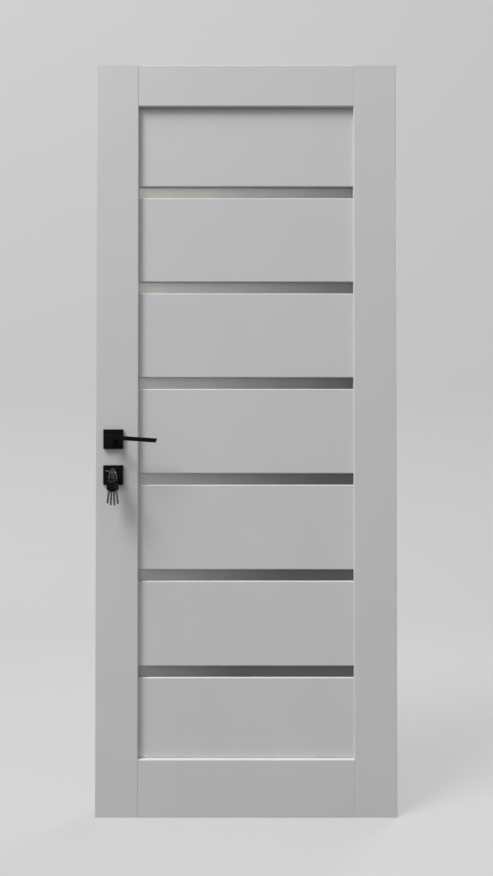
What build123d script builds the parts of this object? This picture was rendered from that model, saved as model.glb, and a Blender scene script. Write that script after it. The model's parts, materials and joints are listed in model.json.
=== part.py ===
from build123d import *
import os
from math import cos, radians, sin, sqrt

# An interior door leaf with seven slats, six glass strips, a lever set and keys.
# Lengths are millimetres and angles are degrees. +Z is up and +X runs from the
# lock edge to the hinge edge. The front of the leaf looks along -Y. The origin
# is the middle of the hinge edge.

# Leaf
leaf_width = 800.0
leaf_height = 2000.0
leaf_thickness = 40.0
stile_width = 113.0
top_rail_height = 110.0
bottom_rail_height = 152.0
edge_radius = 2.0

# Slats and glass strips
slat_thickness = 16.0
slat_edge_radius = 3.0
glass_count = 6
glass_gap = 30.0
bottom_slat_height = 213.0
top_slat_height = 212.0
glass_thickness = 4.0
groove_width = 4.4
stile_groove_depth = 9.0
slat_groove_depth = 8.0
tongue_thickness = 4.2
groove_end_clearance = 0.5

# Heights and setting of the lock
handle_height = 1000.0
backset = 48.0
spindle_to_plug = 85.0

# Mortise lock
case_depth = 70.0
case_height = 165.0
case_thickness = 15.0
case_above_spindle = 48.0
mortise_clearance = 0.4
faceplate_width = 20.0
faceplate_height = 235.0
faceplate_thickness = 3.0
faceplate_clearance = 0.1
bolt_thickness = 12.0
bolt_length = 34.0
bolt_clearance = 0.2
bolt_nose_radius = 1.0
latch_height = 22.0
latch_above_spindle = 16.0
dead_bolt_height = 30.0
dead_bolt_above_plug = 22.0
follower_diameter = 22.0
follower_clearance = 0.1
spindle_square = 8.0
spindle_fit = 0.05
spindle_length = 108.0
spindle_chamfer = 0.8
handle_bore_diameter = 26.0
cylinder_bore_clearance = 1.0

# Rose and escutcheon
plate_size = 52.0
plate_depth = 9.0
plate_edge_chamfer = 0.7
rose_collar_width = 2.4
rose_collar_height = 0.8
escutcheon_rise = 10.0
escutcheon_clearance = 0.4

# Lever
lever_reach = 121.5
lever_heel = 16.0
lever_tip_slant = 18.0
lever_droop = 4.0
lever_projection = 55.0
bar_height = 11.0
bar_depth = 12.0
bar_tip_depth = 9.0
bar_edge_radius = 1.2
bar_end_chamfer = 0.6
neck_diameter = 20.0
neck_clearance = 0.3
neck_end_chamfer = 1.5

# Profile cylinder
cylinder_length = 60.0
cylinder_diameter = 17.0
cylinder_drop = 33.0
cylinder_stem_width = 10.0
plug_diameter = 13.0
plug_length = 27.0
plug_clearance = 0.05
keyway_clearance = 0.1

# Key in the lock
key_thickness = 2.4
key_blade_width = 8.6
key_blade_in_plug = 24.0
key_shoulder_gap = 1.0
key_neck_width = 11.0
key_neck_length = 9.0
key_bow_width = 30.0
key_bow_length = 26.0
key_eye_diameter = 8.0
key_eye_from_end = 7.5
key_tilt = 12.0

# Split ring
ring_diameter = 32.0
ring_wire = 1.4
ring_coils = 2
ring_coil_width = 1.3
ring_slit = 0.3
ring_yaw = 40.0
ring_seat_clearance = 0.5

# Spare keys
spare_key_count = 4
spare_key_spacing = 7.2
spare_key_fan = 5.2
spare_key_yaw = 12.0
head_length = 29.5
head_width = 24.0
head_thickness = 5.0
head_corner_radius = 7.0
head_above_wire = 6.0
head_eye_width = 9.4
head_eye_length = 9.7
head_eye_above_wire = 3.7
spare_blade_length = 35.0
spare_blade_width = 8.5
spare_blade_thickness = 2.4
spare_blade_in_head = 11.0
spare_blade_fit = 0.1
spare_blade_tip = 2.5
bitting_depths = (1.2, 2.0, 0.9, 1.7, 1.3)
bitting_pitch = 4.8
bitting_start = 8.0

# Places worked out from the sizes
lock_edge_x = -leaf_width
bottom_z = -leaf_height / 2
top_z = leaf_height / 2
face_y = leaf_thickness / 2
opening_left_x = lock_edge_x + stile_width
opening_right_x = -stile_width
opening_width = opening_right_x - opening_left_x
opening_middle_x = (opening_left_x + opening_right_x) / 2
opening_bottom_z = bottom_z + bottom_rail_height
opening_top_z = top_z - top_rail_height
spindle_x = lock_edge_x + backset
spindle_z = bottom_z + handle_height
plug_z = spindle_z - spindle_to_plug
escutcheon_z = plug_z - escutcheon_rise
plate_front_y = face_y + plate_depth
case_top_z = spindle_z + case_above_spindle
case_middle_z = case_top_z - case_height / 2
inner_slats_height = opening_top_z - opening_bottom_z - bottom_slat_height - top_slat_height
glass_pitch = (inner_slats_height - glass_gap) / (glass_count - 1)
tongue_length = stile_groove_depth - groove_end_clearance
glass_in_slat = slat_groove_depth - groove_end_clearance
glass_in_stile = stile_groove_depth - groove_end_clearance

nodes = {}


def upright(section, x, z, length):
    """Extrude a flat section, drawn in X and Y, upwards from a height."""
    return extrude(Pos(x, 0, z) * section, amount=length, dir=(0, 0, 1))


def across(section, x, length):
    """Extrude a section, drawn in Y and Z, along +X from a place."""
    return extrude(Plane.YZ.offset(x) * section, amount=length)


def through(section, x, z, near_y, far_y):
    """Extrude a section, drawn in X and Z, from one depth to another."""
    start = Plane(origin=(x, near_y, z), x_dir=(1, 0, 0), z_dir=(0, -1, 0))
    return extrude(start * section, amount=near_y - far_y)


def block(x_size, y_size, z_size, x, y, z):
    """A block with its middle at a point."""
    return Pos(x, y, z) * Box(x_size, y_size, z_size)


def to_back(shape):
    """The same shape on the back of the leaf."""
    return shape.mirror(Plane.XZ)


def profile_outline(clearance):
    """The cylinder's outline about the plug's axis: a round head on a narrow stem."""
    head_radius = cylinder_diameter / 2 + clearance
    stem_radius = cylinder_stem_width / 2 + clearance
    foot = cylinder_drop - cylinder_diameter / 2 - cylinder_stem_width / 2
    stem = Pos(0, -foot / 2) * Rectangle(2 * stem_radius, foot)
    return Circle(head_radius) + stem + Pos(0, -foot) * Circle(stem_radius)


def faceplate_outline(clearance):
    """The faceplate's outline on the lock edge, with round ends."""
    width = faceplate_width + 2 * clearance
    straight = faceplate_height - faceplate_width
    return Pos(0, case_middle_z) * SlotCenterToCenter(straight, width, rotation=90)


def make_stiles():
    """Two full-height stiles with a groove for tongues and glass, and the lock's mortise."""
    section = RectangleRounded(stile_width, leaf_thickness, edge_radius)
    groove = block(stile_groove_depth, groove_width, leaf_height, 0, 0, 0)
    groove_shift = stile_groove_depth / 2

    lock_stile = upright(section, lock_edge_x + stile_width / 2, bottom_z, leaf_height)
    lock_stile -= Pos(opening_left_x - groove_shift, 0, 0) * groove
    pocket_depth = case_depth + faceplate_thickness + mortise_clearance
    lock_stile -= block(
        2 * pocket_depth,
        case_thickness + 2 * mortise_clearance,
        case_height + 2 * mortise_clearance,
        lock_edge_x,
        0,
        case_middle_z,
    )
    lock_stile -= across(faceplate_outline(faceplate_clearance), lock_edge_x, faceplate_thickness)
    handle_bore = Circle(handle_bore_diameter / 2)
    lock_stile -= through(handle_bore, spindle_x, spindle_z, face_y, -face_y)
    cylinder_bore = profile_outline(cylinder_bore_clearance)
    lock_stile -= through(cylinder_bore, spindle_x, plug_z, face_y, -face_y)
    nodes["lock_stile"] = lock_stile

    hinge_stile = upright(section, -stile_width / 2, bottom_z, leaf_height)
    hinge_stile -= Pos(opening_right_x + groove_shift, 0, 0) * groove
    nodes["hinge_stile"] = hinge_stile


def make_rail(height, middle_z, inner_z, inwards):
    """One rail between the stiles, tongued at its ends and grooved along its inner edge."""
    section = Pos(0, middle_z) * RectangleRounded(leaf_thickness, height, edge_radius)
    rail = across(section, opening_left_x, opening_width)
    inner_step = stile_groove_depth + edge_radius
    tongue_height = height - inner_step - groove_end_clearance
    tongue_z = middle_z - inwards * (inner_step - groove_end_clearance) / 2
    length = opening_width + 2 * tongue_length
    rail += block(length, tongue_thickness, tongue_height, opening_middle_x, 0, tongue_z)
    groove_z = inner_z - inwards * stile_groove_depth / 2
    rail -= block(opening_width, groove_width, stile_groove_depth, opening_middle_x, 0, groove_z)
    return rail


def make_rails():
    """The top and the bottom rail."""
    top_middle = top_z - top_rail_height / 2
    bottom_middle = bottom_z + bottom_rail_height / 2
    nodes["top_rail"] = make_rail(top_rail_height, top_middle, opening_top_z, -1)
    nodes["bottom_rail"] = make_rail(bottom_rail_height, bottom_middle, opening_bottom_z, 1)


def glass_bottom(index):
    """Height of the lower edge of one strip's opening, counted from zero at the bottom."""
    return opening_bottom_z + bottom_slat_height + index * glass_pitch


def make_slat(low_z, high_z, tongue_below, tongue_above):
    """One slat: rounded long edges, grooves for glass, tongues at the ends and at a rail."""
    height = high_z - low_z
    middle_z = (low_z + high_z) / 2
    section = Pos(0, middle_z) * RectangleRounded(slat_thickness, height, slat_edge_radius)
    glass_groove = Rectangle(groove_width, slat_groove_depth)
    rail_tongue = Rectangle(tongue_thickness, 2 * tongue_length)
    if tongue_below:
        section += Pos(0, low_z) * rail_tongue
    else:
        section -= Pos(0, low_z + slat_groove_depth / 2) * glass_groove
    if tongue_above:
        section += Pos(0, high_z) * rail_tongue
    else:
        section -= Pos(0, high_z - slat_groove_depth / 2) * glass_groove
    slat = across(section, opening_left_x, opening_width)
    end_tongue_height = height - 2 * (slat_groove_depth + groove_end_clearance)
    length = opening_width + 2 * tongue_length
    slat += block(length, tongue_thickness, end_tongue_height, opening_middle_x, 0, middle_z)
    return slat


def make_slats():
    """The slats, from the bottom rail up to the top rail."""
    low_z = opening_bottom_z
    for index in range(glass_count + 1):
        last = index == glass_count
        high_z = opening_top_z if last else glass_bottom(index)
        nodes[f"slat_{index + 1}"] = make_slat(low_z, high_z, index == 0, last)
        low_z = high_z + glass_gap


def make_glass():
    """The glass strips, seated in the slats' grooves and in the stiles' grooves."""
    length = opening_width + 2 * glass_in_stile
    height = glass_gap + 2 * glass_in_slat
    for index in range(glass_count):
        middle_z = glass_bottom(index) + glass_gap / 2
        pane = block(length, glass_thickness, height, opening_middle_x, 0, middle_z)
        nodes[f"glass_{index + 1}"] = pane


def bolt_shape(height, middle_z, rounded):
    """A bolt that lies flush with the faceplate, with its long edges eased at the nose."""
    bolt = block(bolt_length, bolt_thickness, height, lock_edge_x + bolt_length / 2, 0, middle_z)
    nose = bolt.edges().filter_by(Axis.Z).group_by(Axis.X)[0]
    return fillet(nose, bolt_thickness / 3 if rounded else bolt_nose_radius)


def make_lock():
    """The mortise lock: case, faceplate, latch bolt and dead bolt."""
    latch_z = spindle_z + latch_above_spindle
    dead_z = plug_z + dead_bolt_above_plug
    nodes["latch_bolt"] = bolt_shape(latch_height, latch_z, True)
    nodes["dead_bolt"] = bolt_shape(dead_bolt_height, dead_z, False)
    windows = []
    for height, middle_z in ((latch_height, latch_z), (dead_bolt_height, dead_z)):
        windows.append(
            block(
                2 * (bolt_length + bolt_clearance),
                bolt_thickness + 2 * bolt_clearance,
                height + 2 * bolt_clearance,
                lock_edge_x,
                0,
                middle_z,
            )
        )

    faceplate = across(faceplate_outline(0), lock_edge_x, faceplate_thickness)
    case_x = lock_edge_x + faceplate_thickness + case_depth / 2
    case = block(case_depth, case_thickness, case_height, case_x, 0, case_middle_z)
    for window in windows:
        faceplate -= window
        case -= window
    half_case = case_thickness / 2
    follower_bore = Circle(follower_diameter / 2 + follower_clearance)
    case -= through(follower_bore, spindle_x, spindle_z, half_case, -half_case)
    cylinder_bore = profile_outline(escutcheon_clearance)
    case -= through(cylinder_bore, spindle_x, plug_z, half_case, -half_case)
    nodes["lock_faceplate"] = faceplate
    nodes["lock_case"] = case


def lever_frame(shape):
    """Turn a shape drawn level about the spindle's axis down to the lever's droop."""
    return shape.rotate(Axis((spindle_x, 0, spindle_z), (0, 1, 0)), lever_droop)


def make_spindle():
    """The square spindle and the follower that it turns in the lock."""
    half_length = spindle_length / 2
    square = Rectangle(spindle_square, spindle_square)
    bar = through(square, spindle_x, spindle_z, half_length, -half_length)
    ends = bar.edges().filter_by(Axis.Y, reverse=True)
    nodes["spindle"] = lever_frame(chamfer(ends, spindle_chamfer))
    half_case = case_thickness / 2
    hole_size = spindle_square + 2 * spindle_fit
    hub = Circle(follower_diameter / 2) - Rectangle(hole_size, hole_size)
    nodes["follower"] = lever_frame(through(hub, spindle_x, spindle_z, half_case, -half_case))


def make_levers():
    """A slim flat bar on a round neck, one on each side of the leaf."""
    bar_back_y = -face_y - lever_projection + bar_depth
    bar_front_y = -face_y - lever_projection
    tip_front_y = bar_back_y - bar_tip_depth
    plan = Polygon(
        (-lever_heel, bar_back_y),
        (lever_reach, bar_back_y),
        (lever_reach, tip_front_y),
        (neck_diameter / 2, bar_front_y),
        (-lever_heel, bar_front_y),
        align=None,
    )
    bar_low_z = spindle_z + neck_diameter / 2 - bar_height
    bar = upright(plan, spindle_x, bar_low_z, bar_height)
    long_edges = bar.edges().filter_by(lambda edge: abs(edge.tangent_at(0).X) > 0.5)
    bar = fillet(long_edges, bar_edge_radius)
    tip_corner = (spindle_x + lever_reach, 0, bar_low_z + bar_height)
    slant = radians(lever_tip_slant)
    tip_plane = Plane(tip_corner, z_dir=(cos(slant), 0, -sin(slant)))
    bar = split(bar, bisect_by=tip_plane, keep=Keep.BOTTOM)
    bar = chamfer(bar.faces().sort_by(Axis.X)[-1].edges(), bar_end_chamfer)
    bar = chamfer(bar.faces().sort_by(Axis.X)[0].edges(), bar_end_chamfer)

    neck_root_y = -plate_front_y + plate_depth / 2
    neck_end_y = bar_front_y + bar_edge_radius
    neck = through(Circle(neck_diameter / 2), spindle_x, spindle_z, neck_root_y, neck_end_y)
    neck = chamfer(neck.edges().group_by(Axis.Y)[0], neck_end_chamfer)
    lever = bar + neck
    hole_size = spindle_square + 2 * spindle_fit
    socket = Rectangle(hole_size, hole_size)
    socket_end_y = -spindle_length / 2 - groove_end_clearance
    lever -= through(socket, spindle_x, spindle_z, neck_root_y, socket_end_y)
    front_lever = lever_frame(lever)
    nodes["front_lever"] = front_lever
    nodes["back_lever"] = to_back(front_lever)


def square_plate(z):
    """A square plate on the front of the leaf, with its front and corner edges eased."""
    section = Rectangle(plate_size, plate_size)
    plate = through(section, spindle_x, z, -face_y, -plate_front_y)
    front_edges = plate.edges().group_by(Axis.Y)[0]
    corner_edges = plate.edges().filter_by(Axis.Y)
    return chamfer(front_edges + corner_edges, plate_edge_chamfer)


def make_rose():
    """A square rose with a raised collar round the neck, one on each side."""
    rose = square_plate(spindle_z)
    bore_radius = neck_diameter / 2 + neck_clearance
    collar = Circle(bore_radius + rose_collar_width)
    collar_front_y = -plate_front_y - rose_collar_height
    rose += through(collar, spindle_x, spindle_z, -plate_front_y, collar_front_y)
    rose -= through(Circle(bore_radius), spindle_x, spindle_z, -face_y, collar_front_y)
    nodes["front_rose"] = rose
    nodes["back_rose"] = to_back(rose)


def make_escutcheon():
    """A square escutcheon with the cylinder's outline cut through it, one on each side."""
    plate = square_plate(escutcheon_z)
    cut = profile_outline(escutcheon_clearance)
    plate -= through(cut, spindle_x, plug_z, -face_y, -plate_front_y)
    nodes["front_escutcheon"] = plate
    nodes["back_escutcheon"] = to_back(plate)


def make_cylinder():
    """The profile cylinder's body with a plug in each end."""
    half_length = cylinder_length / 2
    body = through(profile_outline(0), spindle_x, plug_z, half_length, -half_length)
    bore = Circle(plug_diameter / 2 + plug_clearance)
    bore_end_y = half_length - plug_length - plug_clearance
    body -= through(bore, spindle_x, plug_z, half_length, bore_end_y)
    body -= through(bore, spindle_x, plug_z, -bore_end_y, -half_length)
    nodes["cylinder_body"] = body

    round_bar = Circle(plug_diameter / 2)
    plug = through(round_bar, spindle_x, plug_z, plug_length - half_length, -half_length)
    keyway_width = key_blade_width + 2 * keyway_clearance
    keyway_thickness = key_thickness + 2 * keyway_clearance
    keyway = Rectangle(keyway_thickness, keyway_width)
    keyway_depth = key_blade_in_plug + keyway_clearance - half_length
    keyway = through(keyway, spindle_x, plug_z, keyway_depth, -half_length)
    slotted = plug - keyway
    nodes["back_plug"] = to_back(slotted)
    plug_axis = Axis((spindle_x, 0, plug_z), (0, 1, 0))
    nodes["front_plug"] = slotted.rotate(plug_axis, 90 + key_tilt)


def key_plane():
    """The flat of the key in the lock: its length runs out of the cylinder."""
    return Plane(
        origin=(spindle_x, -cylinder_length / 2, plug_z),
        x_dir=(0, -1, 0),
        z_dir=(sin(radians(key_tilt)), 0, cos(radians(key_tilt))),
    )


def key_eye_place():
    """Distance from the cylinder's face to the middle of the key's eye."""
    return key_neck_length + key_bow_length - key_eye_from_end


def make_lock_key():
    """A plain metal key with an oval bow, its blade in the front plug."""
    bow_place = key_neck_length + key_bow_length / 2
    blade_length = key_blade_in_plug + key_shoulder_gap
    blade = Rectangle(blade_length, key_blade_width, align=(Align.MIN, Align.CENTER))
    neck_length = bow_place - key_shoulder_gap
    neck = Rectangle(neck_length, key_neck_width, align=(Align.MIN, Align.CENTER))
    flat = Pos(-key_blade_in_plug, 0) * blade + Pos(key_shoulder_gap, 0) * neck
    flat += Pos(bow_place, 0) * Ellipse(key_bow_length / 2, key_bow_width / 2)
    flat -= Pos(key_eye_place(), 0) * Circle(key_eye_diameter / 2)
    key = extrude(flat, amount=key_thickness / 2, both=True)
    nodes["lock_key"] = key_plane().location * key


def ring_heading():
    """The level direction in which the ring's plane runs, from the key's eye outwards."""
    return Vector(cos(radians(ring_yaw)), -sin(radians(ring_yaw)), 0)


def ring_middle():
    """Middle of the ring: it hangs on the key's bow, with its wire through the eye."""
    mean_radius = (ring_diameter - ring_wire) / 2
    inner_radius = ring_diameter / 2 - ring_wire
    bow_normal = key_plane().z_dir
    heading = ring_heading()
    along = heading - Vector(0, 0, heading.dot(bow_normal) / bow_normal.Z)
    along = along.normalized()
    down = (Vector(0, 0, -1) + along * along.Z).normalized()
    bow_top = key_thickness / 2 + ring_seat_clearance
    low, high = 0.0, inner_radius
    for step in range(40):
        drop = (low + high) / 2
        half_chord = sqrt(mean_radius**2 - drop**2)
        near_edge = half_chord - key_eye_diameter / 2
        rise = sqrt(max(inner_radius**2 - near_edge**2, 0)) - drop
        if rise > bow_top:
            low = drop
        else:
            high = drop
    eye = Vector(spindle_x, -cylinder_length / 2 - key_eye_place(), plug_z)
    return eye + along * half_chord + down * drop


def make_ring():
    """A split ring: flat wire in a double coil, with a fine slit round it between the coils."""
    mean_radius = (ring_diameter - ring_wire) / 2
    heading = ring_heading()
    middle = ring_middle()
    section = Rectangle(ring_wire, ring_coils * ring_coil_width)
    slit = Rectangle(ring_slit, ring_slit, rotation=45)
    for place in range(1, ring_coils):
        side = (place - ring_coils / 2) * ring_coil_width
        section -= Pos(ring_wire / 2, side) * slit
    axis_direction = heading.cross(Vector(0, 0, 1))
    section_plane = Plane(origin=middle, x_dir=heading, z_dir=heading.cross(axis_direction))
    section = section_plane * (Pos(mean_radius, 0) * section)
    nodes["split_ring"] = revolve(section, Axis(middle, axis_direction), 360)


def spare_key_plane(index):
    """The flat of one spare key, with its origin in the ring's wire and its length downwards."""
    mean_radius = (ring_diameter - ring_wire) / 2
    step = index - (spare_key_count - 1) / 2
    arc = step * spare_key_spacing / mean_radius
    wire_point = ring_middle() + ring_heading() * (mean_radius * sin(arc))
    wire_point -= Vector(0, 0, mean_radius * cos(arc))
    sideways = Vector(cos(radians(spare_key_yaw)), -sin(radians(spare_key_yaw)), 0)
    fan = radians(step * spare_key_fan)
    length = Vector(0, 0, -cos(fan)) + sideways * sin(fan)
    normal = sideways * cos(fan) + Vector(0, 0, sin(fan))
    return Plane(origin=wire_point, x_dir=length, z_dir=normal)


def spare_head():
    """A black key head with a long eye at the top and a pocket for the blade."""
    outline = RectangleRounded(head_length, head_width, head_corner_radius)
    head = extrude(outline, amount=head_thickness / 2, both=True)
    head = Pos(head_length / 2 - head_above_wire, 0, 0) * head
    eye = Rectangle(head_eye_length, head_eye_width)
    eye_middle = head_eye_length / 2 - head_eye_above_wire
    head -= extrude(Pos(eye_middle, 0) * eye, amount=head_thickness, both=True)
    return head


def spare_blade():
    """A flat blade with a pointed tip and cuts along one edge."""
    head_end = head_length - head_above_wire
    half_width = spare_blade_width / 2
    start = head_end - spare_blade_in_head
    end = head_end + spare_blade_length
    blade = Polygon(
        (start, -half_width),
        (end - spare_blade_tip, -half_width),
        (end, -half_width + spare_blade_tip),
        (end, half_width - spare_blade_tip),
        (end - spare_blade_tip, half_width),
        (start, half_width),
        align=None,
    )
    for place, depth in enumerate(bitting_depths):
        middle = head_end + bitting_start + place * bitting_pitch
        blade -= Polygon(
            (middle - bitting_pitch / 2, half_width),
            (middle - bitting_pitch / 6, half_width - depth),
            (middle + bitting_pitch / 6, half_width - depth),
            (middle + bitting_pitch / 2, half_width),
            align=None,
        )
    return extrude(blade, amount=spare_blade_thickness / 2, both=True)


def make_spare_keys():
    """Four keys threaded on the ring, hanging edge-on and fanned out."""
    head = spare_head()
    blade = spare_blade()
    head_end = head_length - head_above_wire
    pocket_depth = spare_blade_in_head + spare_blade_fit
    pocket = block(
        2 * pocket_depth,
        spare_blade_width + 2 * spare_blade_fit,
        spare_blade_thickness + 2 * spare_blade_fit,
        head_end,
        0,
        0,
    )
    head -= pocket
    for index in range(spare_key_count):
        place = spare_key_plane(index).location
        nodes[f"key_head_{index + 1}"] = place * head
        nodes[f"key_blade_{index + 1}"] = place * blade


make_stiles()
make_rails()
make_slats()
make_glass()
make_lock()
make_spindle()
make_levers()
make_rose()
make_escutcheon()
make_cylinder()
make_lock_key()
make_ring()
make_spare_keys()

os.makedirs("parts", exist_ok=True)
for name, shape in nodes.items():
    export_step(shape, f"parts/{name}.step")

print("Middle of the ring, the swing's axis in record.json:", ring_middle())
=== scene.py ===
import json
import math

import bmesh
import bpy
from mathutils import Matrix, Vector


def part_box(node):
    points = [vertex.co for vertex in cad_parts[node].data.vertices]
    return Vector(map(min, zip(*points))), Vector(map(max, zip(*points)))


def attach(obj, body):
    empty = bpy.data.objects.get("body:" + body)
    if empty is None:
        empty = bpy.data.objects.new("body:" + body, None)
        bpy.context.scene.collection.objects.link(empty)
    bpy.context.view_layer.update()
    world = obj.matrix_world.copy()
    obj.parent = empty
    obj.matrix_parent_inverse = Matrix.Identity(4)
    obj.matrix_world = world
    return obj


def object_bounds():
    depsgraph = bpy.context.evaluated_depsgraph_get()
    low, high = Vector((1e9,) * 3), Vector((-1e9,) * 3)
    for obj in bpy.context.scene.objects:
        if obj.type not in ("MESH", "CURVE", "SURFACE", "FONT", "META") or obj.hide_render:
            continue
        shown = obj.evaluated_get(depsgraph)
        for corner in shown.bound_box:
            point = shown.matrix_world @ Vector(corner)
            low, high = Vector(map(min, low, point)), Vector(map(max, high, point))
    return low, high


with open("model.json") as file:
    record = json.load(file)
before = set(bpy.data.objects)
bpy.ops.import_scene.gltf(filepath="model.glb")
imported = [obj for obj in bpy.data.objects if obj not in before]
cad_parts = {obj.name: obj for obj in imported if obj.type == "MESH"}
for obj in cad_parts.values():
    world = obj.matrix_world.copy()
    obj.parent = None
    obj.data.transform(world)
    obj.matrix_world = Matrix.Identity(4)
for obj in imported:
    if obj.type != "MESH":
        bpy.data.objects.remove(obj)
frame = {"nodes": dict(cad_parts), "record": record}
cad_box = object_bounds()

# A white interior door leaf with frosted glass strips, a black lever set and keys.
# Lengths are metres. The front of the leaf looks along -Y and the lock edge is at -X.

# Picture frame, in pixels, and how the foot of the leaf is scaled in it
picture_width = 493
picture_height = 876
leaf_middle_column = 246.1
leaf_middle_row = 439.2
pixels_per_metre = 378.5

# Camera, with its distance to the foot of the leaf measured along its view
camera_distance = 1.8
camera_tilt = math.radians(0.62)
film_size_mm = 36.0

# Places read from the frame
leaf_low = Vector((cad_box[0][0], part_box("lock_stile")[0][1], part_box("lock_stile")[0][2]))
leaf_high = Vector((cad_box[1][0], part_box("lock_stile")[1][1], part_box("lock_stile")[1][2]))
leaf_middle = (leaf_low + leaf_high) / 2
floor_z = leaf_low.z

# Room light: how bright it is level and overhead, how far up it gets to the brighter
# value, where 1 is straight up, and how bright it looks in the picture and reflections
room_low = 0.31
room_high = 0.78
room_bright_from = 0.8
room_look = 0.5

# Lamps, placed from the middle of the leaf, with their power in watts
softbox_offset = Vector((-4.4, -3.4, 8.0))
softbox_size = (3.3, 5.6)
softbox_spread = math.pi
softbox_power = 985.0
back_lamp_offset = Vector((2.4, 2.6, 1.2))
back_lamp_size = (1.6, 1.6)
back_lamp_spread = math.radians(80.0)
back_lamp_power = 20.0

# Backdrop, and how much paler it looks than it lights
backdrop_half_width = 16.0
backdrop_front_y = -18.0
backdrop_wall_y = 3.2
backdrop_wall_height = 7.0
backdrop_sweep_radius = 1.4
backdrop_sweep_steps = 24
backdrop_lift = 0.4
paper_color = (0.18, 0.18, 0.18)
white = (1.0, 1.0, 1.0)

# Colours of the finishes, from one end of their change over the surface to the other
film_colors = ((0.575, 0.577, 0.58), (0.61, 0.611, 0.612))
# The glass colours run from painted light at the upper lock side to painted shade at the lower
# hinge side
glass_cloud_and_painted_shade_colors = ((0.86, 0.84, 0.79), (0.12, 0.117, 0.111))
coating_colors = ((0.0035, 0.0035, 0.0036), (0.007, 0.007, 0.0073))
plastic_colors = ((0.004, 0.004, 0.004), (0.007, 0.007, 0.007))
zinc_colors = ((0.38, 0.39, 0.42), (0.55, 0.56, 0.58))
nickel_colors = ((0.11, 0.107, 0.1), (0.08, 0.077, 0.07))
key_steel_colors = ((0.15, 0.145, 0.136), (0.1, 0.096, 0.09))
black_specular = 0.06

# Painted light and shade on the glass: its colour darkens along a slanted line from the upper
# lock side to the lower hinge side, in place of the light seen through it
painted_shade_line = (1.0, 0.0, -0.45)
painted_shade_start = leaf_middle.x - 0.78
painted_shade_end = leaf_middle.x + 0.5
tint_cloud_share = 0.16

# Screws of the lock's faceplate
screw_from_plate_end = 0.009
screw_head_radius = 0.0038
screw_edge_width = 0.0003
screw_relief = 0.0004
slot_half_width = 0.0004
slot_edge_width = 0.0004
slot_reach = 0.0018
slot_end_width = 0.00036

# Grub screws in the undersides of the levers' necks
lever_droop = math.radians(4.0)
neck_radius = 0.01
neck_screw_radius = 0.0022
neck_screw_proud = 0.0003
neck_screw_depth = 0.0016
neck_screw_from_leaf = 0.019
neck_screw_wall = 0.0008
neck_screw_sides = 24


# Shader helpers


def start_group(name, inputs, outputs):
    """A shader node group with named inputs and outputs, and its two end nodes."""
    group = bpy.data.node_groups.new(name, "ShaderNodeTree")
    for label, kind, value in inputs:
        socket = group.interface.new_socket(name=label, in_out="INPUT", socket_type=kind)
        if value is not None:
            socket.default_value = value
    for label, kind in outputs:
        group.interface.new_socket(name=label, in_out="OUTPUT", socket_type=kind)
    entry = group.nodes.new("NodeGroupInput")
    leave = group.nodes.new("NodeGroupOutput")
    return group, entry, leave


def new_node(tree, kind, settings=None, values=None):
    """A node with its settings, and its input values by name or number."""
    node = tree.nodes.new(kind)
    for key, value in (settings or {}).items():
        setattr(node, key, value)
    for key, value in (values or {}).items():
        node.inputs[key].default_value = value
    return node


def calculate(tree, operation, first, second=None):
    """One step of arithmetic; the second value is a number or a socket."""
    step = new_node(tree, "ShaderNodeMath", {"operation": operation})
    tree.links.new(first, step.inputs[0])
    if isinstance(second, float):
        step.inputs[1].default_value = second
    elif second is not None:
        tree.links.new(second, step.inputs[1])
    return step.outputs["Value"]


def ramp(tree, value, start, end, low=0.0, high=1.0):
    """A smooth change from low to high while a value runs from start to end."""
    step = new_node(
        tree,
        "ShaderNodeMapRange",
        {"interpolation_type": "SMOOTHSTEP"},
        {"From Min": start, "From Max": end, "To Min": low, "To Max": high},
    )
    tree.links.new(value, step.inputs["Value"])
    return step.outputs["Result"]


def fade(tree, value, start, width):
    """A mask that is 1 up to a value and fades to 0 over a width."""
    return ramp(tree, value, start, start + width, 1.0, 0.0)


def object_place(tree):
    """The place on the object, which every pattern here is drawn on."""
    return tree.nodes.new("ShaderNodeTexCoord").outputs["Object"]


# Surface effects that several finishes share


def make_grain_group():
    """Fine grain and slow cloudy change over a surface, both about 0 to 1."""
    group, entry, leave = start_group(
        "surface_grain",
        [
            ("Vector", "NodeSocketVector", None),
            ("Grain Scale", "NodeSocketFloat", 900.0),
            ("Cloud Scale", "NodeSocketFloat", 6.0),
        ],
        [("Grain", "NodeSocketFloat"), ("Cloud", "NodeSocketFloat")],
    )
    grain = new_node(group, "ShaderNodeTexNoise", values={"Detail": 3.0, "Roughness": 0.6})
    cloud = new_node(group, "ShaderNodeTexNoise", values={"Detail": 2.0, "Roughness": 0.5})
    for texture, label in ((grain, "Grain"), (cloud, "Cloud")):
        group.links.new(entry.outputs["Vector"], texture.inputs["Vector"])
        group.links.new(entry.outputs[f"{label} Scale"], texture.inputs["Scale"])
        group.links.new(texture.outputs["Fac"], leave.inputs[label])
    return group


def make_brushing_group():
    """Fine lines left by a brush, drawn out along one axis by the stretch."""
    group, entry, leave = start_group(
        "brushed_lines",
        [
            ("Vector", "NodeSocketVector", None),
            ("Stretch", "NodeSocketVector", (1.0, 1.0, 1.0)),
            ("Scale", "NodeSocketFloat", 900.0),
        ],
        [("Lines", "NodeSocketFloat")],
    )
    stretched = new_node(group, "ShaderNodeVectorMath", {"operation": "MULTIPLY"})
    lines = new_node(group, "ShaderNodeTexNoise", values={"Detail": 2.0, "Roughness": 0.7})
    group.links.new(entry.outputs["Vector"], stretched.inputs[0])
    group.links.new(entry.outputs["Stretch"], stretched.inputs[1])
    group.links.new(stretched.outputs["Vector"], lines.inputs["Vector"])
    group.links.new(entry.outputs["Scale"], lines.inputs["Scale"])
    group.links.new(lines.outputs["Fac"], leave.inputs["Lines"])
    return group


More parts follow.
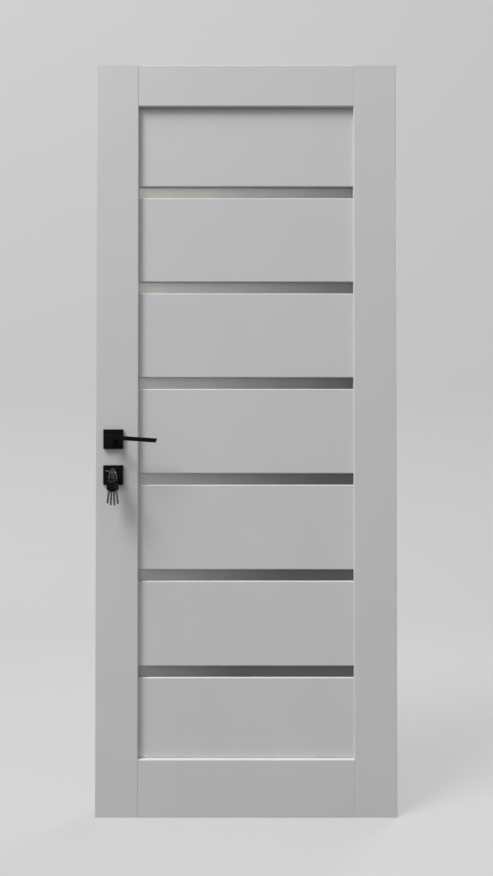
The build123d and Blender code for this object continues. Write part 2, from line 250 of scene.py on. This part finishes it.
def make_wear_group():
    """Small smudges and rubbed spots: 0 on clean surface, and up to the amount on a mark."""
    group, entry, leave = start_group(
        "handling_marks",
        [
            ("Vector", "NodeSocketVector", None),
            ("Scale", "NodeSocketFloat", 40.0),
            ("Amount", "NodeSocketFloat", 0.3),
        ],
        [("Marks", "NodeSocketFloat")],
    )
    patches = new_node(group, "ShaderNodeTexNoise", values={"Detail": 4.0, "Roughness": 0.65})
    group.links.new(entry.outputs["Vector"], patches.inputs["Vector"])
    group.links.new(entry.outputs["Scale"], patches.inputs["Scale"])
    smears = ramp(group, patches.outputs["Fac"], start=0.52, end=0.72)
    marks = calculate(group, "MULTIPLY", smears, entry.outputs["Amount"])
    group.links.new(marks, leave.inputs["Marks"])
    return group


grain_group = make_grain_group()
brushing_group = make_brushing_group()
wear_group = make_wear_group()


# How a material is put together


def start_material(name, constants=None):
    """A material with its Principled shader and the constants set on it."""
    material = bpy.data.materials.new(name)
    material.use_nodes = True
    tree = material.node_tree
    shader = tree.nodes["Principled BSDF"]
    for key, value in (constants or {}).items():
        shader.inputs[key].default_value = value
    return material, tree, shader


def place_group(tree, group, values):
    """A shared group placed in a material and given its own values."""
    node = new_node(tree, "ShaderNodeGroup", {"node_tree": group}, values)
    tree.links.new(object_place(tree), node.inputs["Vector"])
    return node


def vary_color(tree, shader, mask, colors):
    """Drive the base colour from a mask between two colours."""
    mix = new_node(tree, "ShaderNodeMix", {"data_type": "RGBA"})
    ends = [socket for socket in mix.inputs if socket.type == "RGBA"]
    result = [socket for socket in mix.outputs if socket.type == "RGBA"][0]
    for end, color in zip(ends, colors):
        end.default_value = (*color, 1.0)
    shader.inputs["Base Color"].default_value = (*colors[0], 1.0)
    tree.links.new(mask, mix.inputs[0])
    tree.links.new(result, shader.inputs["Base Color"])


def vary_roughness(tree, shader, mask, low, high):
    """Drive the roughness from a mask between two values."""
    spread = new_node(tree, "ShaderNodeMapRange", values={"To Min": low, "To Max": high})
    shader.inputs["Roughness"].default_value = low
    tree.links.new(mask, spread.inputs["Value"])
    tree.links.new(spread.outputs["Result"], shader.inputs["Roughness"])


def add_bump(tree, shader, height, strength, distance):
    """Raise the surface by a height texture, over any relief that it has already."""
    bump = new_node(tree, "ShaderNodeBump", values={"Strength": strength, "Distance": distance})
    tree.links.new(height, bump.inputs["Height"])
    for link in shader.inputs["Normal"].links:
        tree.links.new(link.from_socket, bump.inputs["Normal"])
    tree.links.new(bump.outputs["Normal"], shader.inputs["Normal"])


# Finishes


def make_white_film():
    """Satin white film wrapped over the leaf: faint emboss and a slow change of shade."""
    material, tree, shader = start_material("white_film")
    grain = place_group(tree, grain_group, {"Grain Scale": 1400.0, "Cloud Scale": 5.0})
    vary_color(tree, shader, grain.outputs["Cloud"], film_colors)
    vary_roughness(tree, shader, grain.outputs["Grain"], low=0.36, high=0.5)
    add_bump(tree, shader, grain.outputs["Grain"], strength=0.12, distance=0.0002)
    return material


def make_satin_glass():
    """Etched grey-beige glass with painted light and shade: lighter towards the upper lock side
    and darker towards the lower hinge side, with a little random cloud.
    """
    material, tree, shader = start_material(
        "satin_glass", {"IOR": 1.5, "Transmission Weight": 0.75}
    )
    grain = place_group(tree, grain_group, {"Grain Scale": 2500.0, "Cloud Scale": 9.0})
    along = new_node(tree, "ShaderNodeVectorMath", {"operation": "DOT_PRODUCT"}, {1: painted_shade_line})
    cloud_and_painted_shade = new_node(
        tree, "ShaderNodeMath", {"operation": "MULTIPLY_ADD"}, {1: tint_cloud_share}
    )
    tree.links.new(object_place(tree), along.inputs[0])
    # Painted shade: 0 towards the upper lock side and 1 towards the lower hinge side, with a
    # share of random cloud added on
    depth = ramp(tree, along.outputs["Value"], painted_shade_start, painted_shade_end)
    tree.links.new(grain.outputs["Cloud"], cloud_and_painted_shade.inputs[0])
    tree.links.new(depth, cloud_and_painted_shade.inputs[2])
    vary_color(tree, shader, cloud_and_painted_shade.outputs["Value"], glass_cloud_and_painted_shade_colors)
    vary_roughness(tree, shader, grain.outputs["Grain"], low=0.24, high=0.34)
    add_bump(tree, shader, grain.outputs["Grain"], strength=0.15, distance=0.0001)
    return material


def make_black_coating(name, clean, handled):
    """Satin black powder coating with a fine orange peel, rougher where it is handled."""
    material, tree, shader = start_material(name, {"Specular IOR Level": black_specular})
    grain = place_group(tree, grain_group, {"Grain Scale": 1800.0, "Cloud Scale": 30.0})
    marks = place_group(tree, wear_group, {"Scale": 55.0, "Amount": 0.8})
    vary_color(tree, shader, grain.outputs["Cloud"], coating_colors)
    vary_roughness(tree, shader, marks.outputs["Marks"], low=clean, high=handled)
    add_bump(tree, shader, grain.outputs["Grain"], strength=0.18, distance=0.0001)
    return material


def make_zinc_steel():
    """Zinc-plated steel with a faint blue cast and rolled lines."""
    material, tree, shader = start_material("zinc_steel", {"Metallic": 1.0})
    lines = place_group(tree, brushing_group, {"Stretch": (1.0, 1.0, 0.06), "Scale": 500.0})
    vary_color(tree, shader, lines.outputs["Lines"], zinc_colors)
    vary_roughness(tree, shader, lines.outputs["Lines"], low=0.3, high=0.5)
    add_bump(tree, shader, lines.outputs["Lines"], strength=0.1, distance=0.0001)
    return material


def make_nickel():
    """Satin nickel of the cylinder, turned at its faces."""
    material, tree, shader = start_material("nickel", {"Metallic": 1.0})
    lines = place_group(tree, brushing_group, {"Stretch": (1.0, 0.05, 1.0), "Scale": 1500.0})
    marks = place_group(tree, wear_group, {"Scale": 160.0, "Amount": 1.0})
    vary_color(tree, shader, marks.outputs["Marks"], nickel_colors)
    vary_roughness(tree, shader, lines.outputs["Lines"], low=0.22, high=0.4)
    add_bump(tree, shader, lines.outputs["Lines"], strength=0.1, distance=0.00005)
    return material


def make_key_steel():
    """Nickel-plated keys and ring, with fine scratches from the pocket."""
    material, tree, shader = start_material("key_steel", {"Metallic": 1.0})
    lines = place_group(tree, brushing_group, {"Stretch": (1.0, 1.0, 0.1), "Scale": 1200.0})
    marks = place_group(tree, wear_group, {"Scale": 120.0, "Amount": 1.0})
    vary_color(tree, shader, marks.outputs["Marks"], key_steel_colors)
    vary_roughness(tree, shader, lines.outputs["Lines"], low=0.22, high=0.42)
    add_bump(tree, shader, lines.outputs["Lines"], strength=0.12, distance=0.00005)
    return material


def make_key_plastic():
    """Moulded black plastic of the key heads, with a fine spark-eroded grain."""
    material, tree, shader = start_material(
        "key_plastic", {"Specular IOR Level": black_specular}
    )
    grain = place_group(tree, grain_group, {"Grain Scale": 1600.0, "Cloud Scale": 45.0})
    vary_color(tree, shader, grain.outputs["Cloud"], plastic_colors)
    vary_roughness(tree, shader, grain.outputs["Grain"], low=0.34, high=0.52)
    add_bump(tree, shader, grain.outputs["Grain"], strength=0.3, distance=0.0002)
    return material


def add_screw_heads(material, plate):
    """Countersunk cross-slot screw heads near the two ends of an upright plate."""
    tree = material.node_tree
    shader = tree.nodes["Principled BSDF"]
    low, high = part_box(plate)
    plate_middle = (low[2] + high[2]) / 2
    spacing = (high[2] - low[2]) / 2 - screw_from_plate_end
    split = tree.nodes.new("ShaderNodeSeparateXYZ")
    tree.links.new(object_place(tree), split.inputs["Vector"])
    across = calculate(tree, "ABSOLUTE", split.outputs["Y"])
    from_middle = calculate(tree, "SUBTRACT", split.outputs["Z"], plate_middle)
    from_screw = calculate(tree, "SUBTRACT", calculate(tree, "ABSOLUTE", from_middle), spacing)
    along = calculate(tree, "ABSOLUTE", from_screw)
    squares = calculate(
        tree,
        "ADD",
        calculate(tree, "MULTIPLY", across, across),
        calculate(tree, "MULTIPLY", along, along),
    )
    radius = calculate(tree, "SQRT", squares)
    nearer_arm = calculate(tree, "MINIMUM", across, along)
    head = fade(tree, radius, screw_head_radius - screw_edge_width, screw_edge_width)
    arms = fade(tree, nearer_arm, slot_half_width, slot_edge_width)
    slot = calculate(tree, "MULTIPLY", arms, fade(tree, radius, slot_reach, slot_end_width))
    relief = calculate(tree, "SUBTRACT", head, slot)
    add_bump(tree, shader, relief, strength=0.7, distance=screw_relief)


finishes = {
    "white_film": make_white_film(),
    "satin_glass": make_satin_glass(),
    "black_handle": make_black_coating("black_handle", clean=0.3, handled=0.46),
    "black_lock": make_black_coating("black_lock", clean=0.36, handled=0.5),
    "zinc_steel": make_zinc_steel(),
    "nickel": make_nickel(),
    "key_steel": make_key_steel(),
    "key_plastic": make_key_plastic(),
}
add_screw_heads(finishes["black_lock"], "lock_faceplate")


def dress_nodes():
    """Give each CAD node the finish that its slot in the record names."""
    slots = {row["node"]: row["material_slot"] for row in frame["record"]["subparts"]}
    for name, node in frame["nodes"].items():
        node.data.materials.clear()
        node.data.materials.append(finishes[slots[name]])


# Small hardware that the CAD model leaves out


def finish_piece(name, builder, finish, body):
    """Make an object from a bmesh, give it its finish and let it ride on a body."""
    mesh = bpy.data.meshes.new(name)
    bmesh.ops.recalc_face_normals(builder, faces=builder.faces)
    builder.to_mesh(mesh)
    builder.free()
    mesh.materials.append(finishes[finish])
    piece = bpy.data.objects.new(name, mesh)
    bpy.context.scene.collection.objects.link(piece)
    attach(piece, body)


def make_neck_screw(name, face_y, outward):
    """A grub screw with a socket, set into the underside of a lever's neck."""
    low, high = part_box("front_rose")
    spindle = (Vector(low) + Vector(high)) / 2
    builder = bmesh.new()
    bmesh.ops.create_cone(
        builder,
        cap_ends=True,
        segments=neck_screw_sides,
        radius1=neck_screw_radius,
        radius2=neck_screw_radius,
        depth=neck_screw_depth,
    )
    end = min(builder.faces, key=lambda face: face.calc_center_median().z)
    bmesh.ops.inset_region(builder, faces=[end], thickness=neck_screw_wall)
    pocket = bmesh.ops.extrude_discrete_faces(builder, faces=[end])["faces"][0]
    bmesh.ops.translate(builder, verts=pocket.verts[:], vec=(0, 0, neck_screw_depth / 2))
    drop = neck_radius + neck_screw_proud - neck_screw_depth / 2
    place = Vector((spindle.x, face_y + outward * neck_screw_from_leaf, spindle.z - drop))
    bmesh.ops.translate(builder, verts=builder.verts, vec=place)
    bmesh.ops.rotate(
        builder,
        verts=builder.verts,
        cent=(spindle.x, 0, spindle.z),
        matrix=Matrix.Rotation(lever_droop, 3, "Y"),
    )
    finish_piece(name, builder, "zinc_steel", "lever")


# Stage


def looked_at(tree):
    """1 where the camera, a reflection or the glass looks, and 0 where light is gathered."""
    rays = tree.nodes.new("ShaderNodeLightPath")
    seen = rays.outputs["Is Camera Ray"]
    for label in ("Is Glossy Ray", "Is Transmission Ray"):
        seen = calculate(tree, "MAXIMUM", seen, rays.outputs[label])
    return seen


def make_pale_paper():
    """Matt backdrop paper. What looks at it sees it paler than the light it throws back."""
    material, tree, shader = start_material(
        "pale_paper",
        {
            "Base Color": (*paper_color, 1.0),
            "Roughness": 0.9,
            "Specular IOR Level": 0.1,
            "Emission Color": (*white, 1.0),
        },
    )
    lift = calculate(tree, "MULTIPLY", looked_at(tree), backdrop_lift)
    tree.links.new(lift, shader.inputs["Emission Strength"])
    return material


def make_backdrop():
    """A pale floor that sweeps up into a wall behind the leaf."""
    side_x = leaf_middle.x - backdrop_half_width
    sweep_y = backdrop_wall_y - backdrop_sweep_radius
    builder = bmesh.new()
    foot = builder.verts.new((side_x, sweep_y, floor_z))
    bmesh.ops.spin(
        builder,
        geom=[foot],
        cent=(side_x, sweep_y, floor_z + backdrop_sweep_radius),
        axis=(1, 0, 0),
        angle=math.pi / 2,
        steps=backdrop_sweep_steps,
        use_merge=False,
        use_duplicate=False,
    )
    head = max(builder.verts, key=lambda vert: vert.co.z)
    top = builder.verts.new((side_x, backdrop_wall_y, floor_z + backdrop_wall_height))
    near = builder.verts.new((side_x, backdrop_front_y, floor_z))
    builder.edges.new((head, top))
    builder.edges.new((foot, near))
    swept = bmesh.ops.extrude_edge_only(builder, edges=builder.edges[:])
    far_side = [item for item in swept["geom"] if isinstance(item, bmesh.types.BMVert)]
    bmesh.ops.translate(builder, verts=far_side, vec=(2 * backdrop_half_width, 0, 0))
    bmesh.ops.recalc_face_normals(builder, faces=builder.faces)
    for face in builder.faces:
        face.smooth = True
    mesh = bpy.data.meshes.new("backdrop")
    builder.to_mesh(mesh)
    builder.free()
    mesh.materials.append(make_pale_paper())
    backdrop = bpy.data.objects.new("backdrop", mesh)
    bpy.context.scene.collection.objects.link(backdrop)


def make_room():
    """Even light from all round, brighter overhead, in a room that looks pale."""
    world = bpy.data.worlds.new("studio_room")
    bpy.context.scene.world = world
    world.use_nodes = True
    tree = world.node_tree
    background = tree.nodes["Background"]
    background.inputs["Color"].default_value = (*white, 1.0)
    direction = tree.nodes.new("ShaderNodeTexCoord")
    parts = tree.nodes.new("ShaderNodeSeparateXYZ")
    tree.links.new(direction.outputs["Generated"], parts.inputs["Vector"])
    light = ramp(tree, parts.outputs["Z"], 0.0, room_bright_from, low=room_low, high=room_high)
    look = calculate(tree, "MULTIPLY", looked_at(tree), room_look)
    strength = calculate(tree, "MAXIMUM", light, look)
    tree.links.new(strength, background.inputs["Strength"])


def add_area_lamp(name, offset, size, spread, power):
    """A soft lamp that shines at the middle of the leaf and isn't seen itself."""
    lamp = bpy.data.lights.new(name, "AREA")
    lamp.shape = "RECTANGLE"
    lamp.size, lamp.size_y = size
    lamp.spread = spread
    lamp.energy = power
    holder = bpy.data.objects.new(name, lamp)
    holder.location = leaf_middle + offset
    holder.rotation_euler = (-offset).to_track_quat("-Z", "Y").to_euler()
    holder.visible_camera = False
    bpy.context.scene.collection.objects.link(holder)


def make_lamps():
    """A softbox high on the left of the front, and a weak lamp for the back of the leaf."""
    add_area_lamp(
        "overhead_softbox", softbox_offset, softbox_size, softbox_spread, softbox_power
    )
    add_area_lamp(
        "back_softbox", back_lamp_offset, back_lamp_size, back_lamp_spread, back_lamp_power
    )


def make_camera():
    """A camera nearly square to the leaf, a little below its middle and tilted up."""
    focal_pixels = pixels_per_metre * camera_distance
    camera_data = bpy.data.cameras.new("photo_camera")
    camera_data.sensor_fit = "AUTO"
    camera_data.sensor_width = film_size_mm
    camera_data.lens = film_size_mm * focal_pixels / picture_height
    camera = bpy.data.objects.new("photo_camera", camera_data)
    bpy.context.scene.collection.objects.link(camera)
    aim_right = (picture_width / 2 - leaf_middle_column) / pixels_per_metre
    aim_up = (leaf_middle_row - picture_height / 2) / pixels_per_metre
    middle_distance = camera_distance + (leaf_middle.z - leaf_low.z) * math.sin(camera_tilt)
    camera.location = (
        leaf_middle.x + aim_right,
        leaf_low.y - middle_distance * math.cos(camera_tilt),
        leaf_middle.z + aim_up - middle_distance * math.sin(camera_tilt),
    )
    camera.rotation_euler = (math.pi / 2 + camera_tilt, 0.0, 0.0)
    bpy.context.scene.camera = camera


dress_nodes()
make_neck_screw("front_neck_screw", leaf_low.y, -1)
make_neck_screw("back_neck_screw", leaf_high.y, 1)
make_backdrop()
make_room()
make_lamps()
make_camera()
bpy.context.scene.view_settings.view_transform = "Standard"
